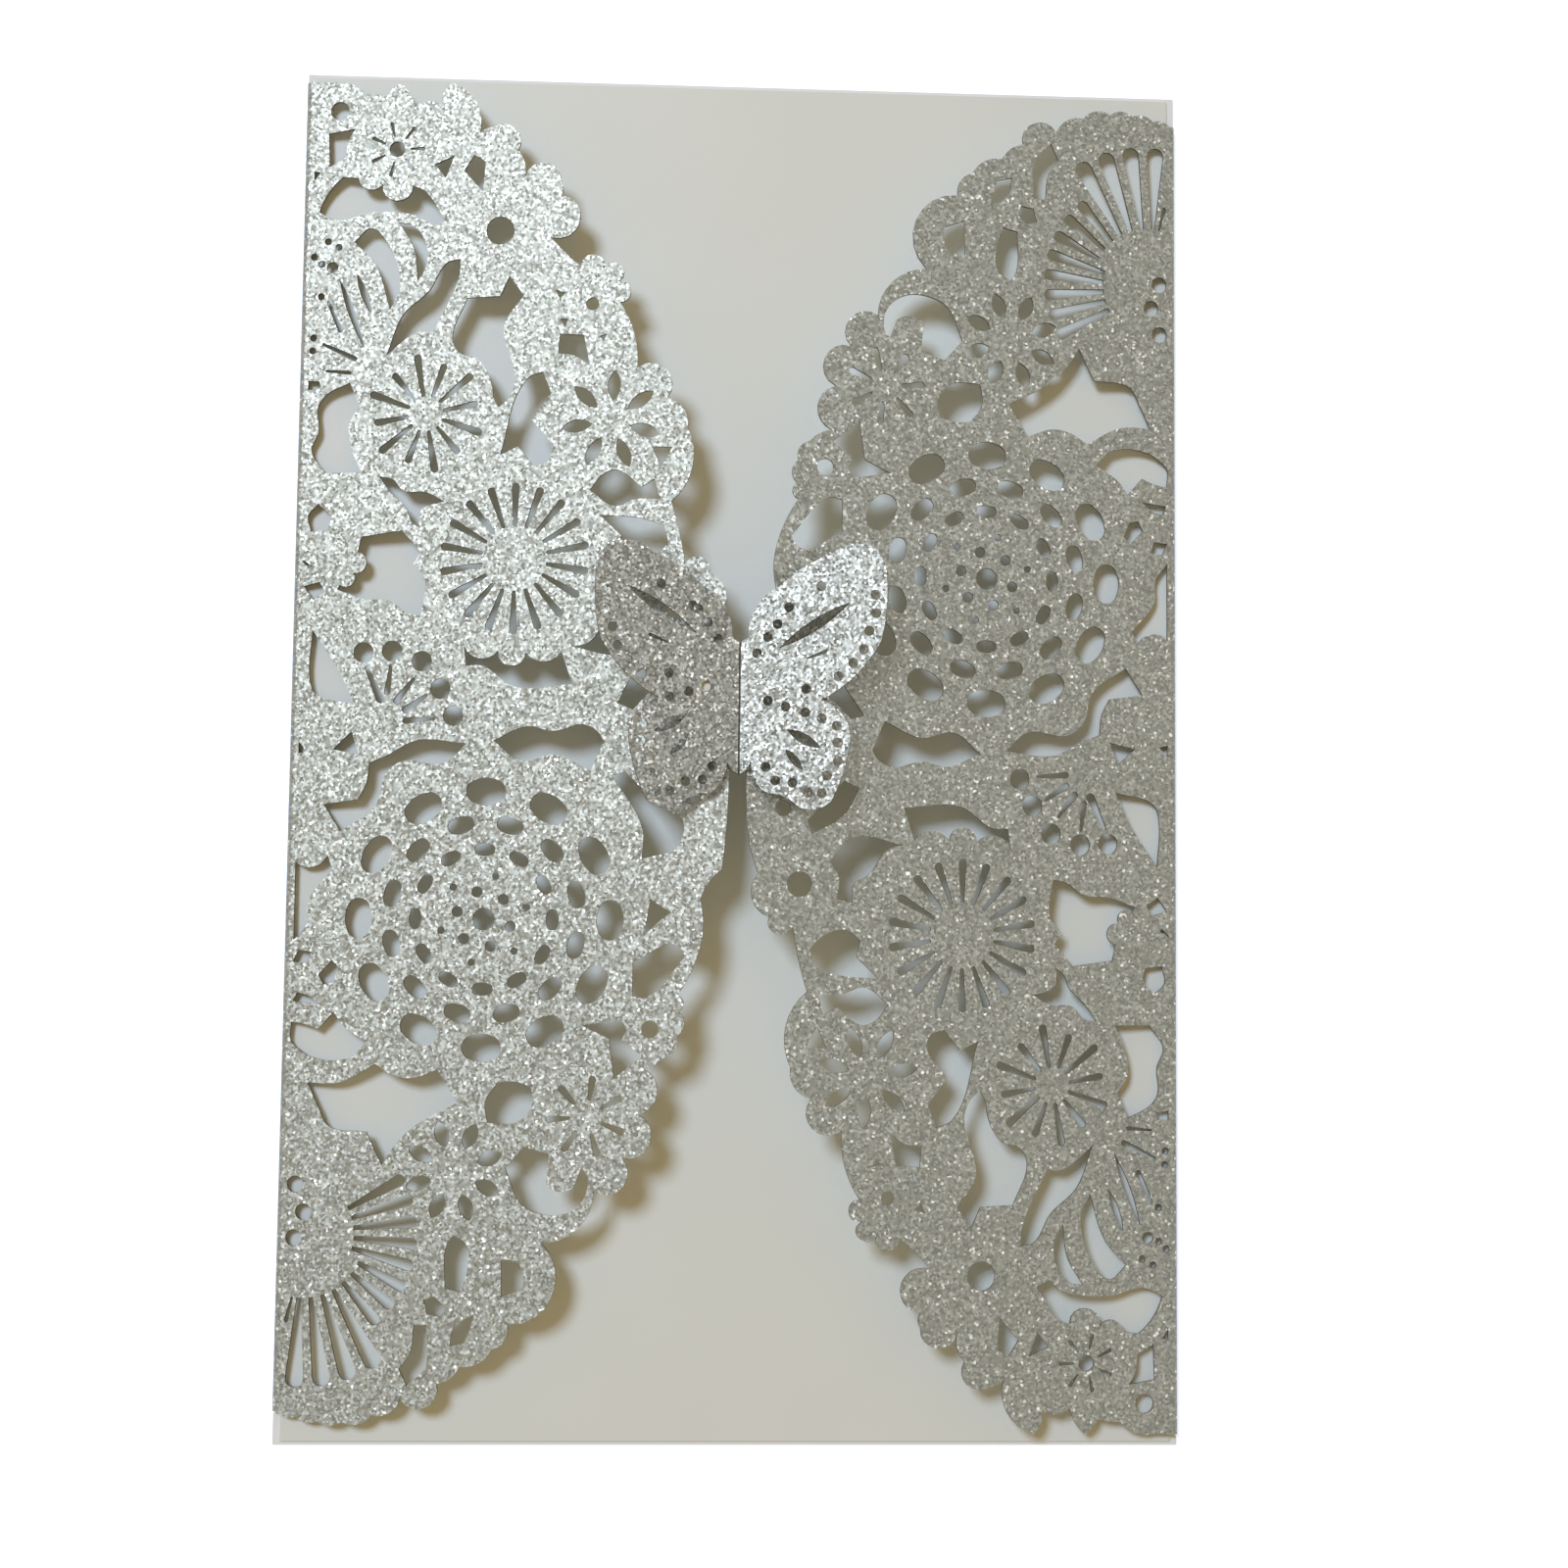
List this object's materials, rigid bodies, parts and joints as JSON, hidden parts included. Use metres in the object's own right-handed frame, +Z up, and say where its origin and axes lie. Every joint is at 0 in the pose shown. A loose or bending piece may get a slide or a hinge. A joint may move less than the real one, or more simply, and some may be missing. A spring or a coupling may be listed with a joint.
{
  "type": "wedding invitation card",
  "caption": "Gatefold card of silver glitter stock with lace-cut flaps that stand a little open, a plain pearl card inside and a folded butterfly over the gate.",
  "frame": {"origin": "centre of the footprint, on the underside of the back panel", "axes": "+Z up out of the front of the lying card, +Y towards the head of the card, +X to the right flap's fold"},
  "size_m": [0.12, 0.185, 0.0155],
  "materials": {
    "glitter_card": "silver glitter outside, white paper inside",
    "pearl_card": "smooth pearl white",
    "butterfly_card": "silver glitter",
    "pad": "white double-sided foam pad"
  },
  "bodies": {
    "root": {"wrapper": "glitter_card", "insert_card": "pearl_card", "butterfly": "butterfly_card", "adhesive_pad": "pad"}
  },
  "joints": []
}
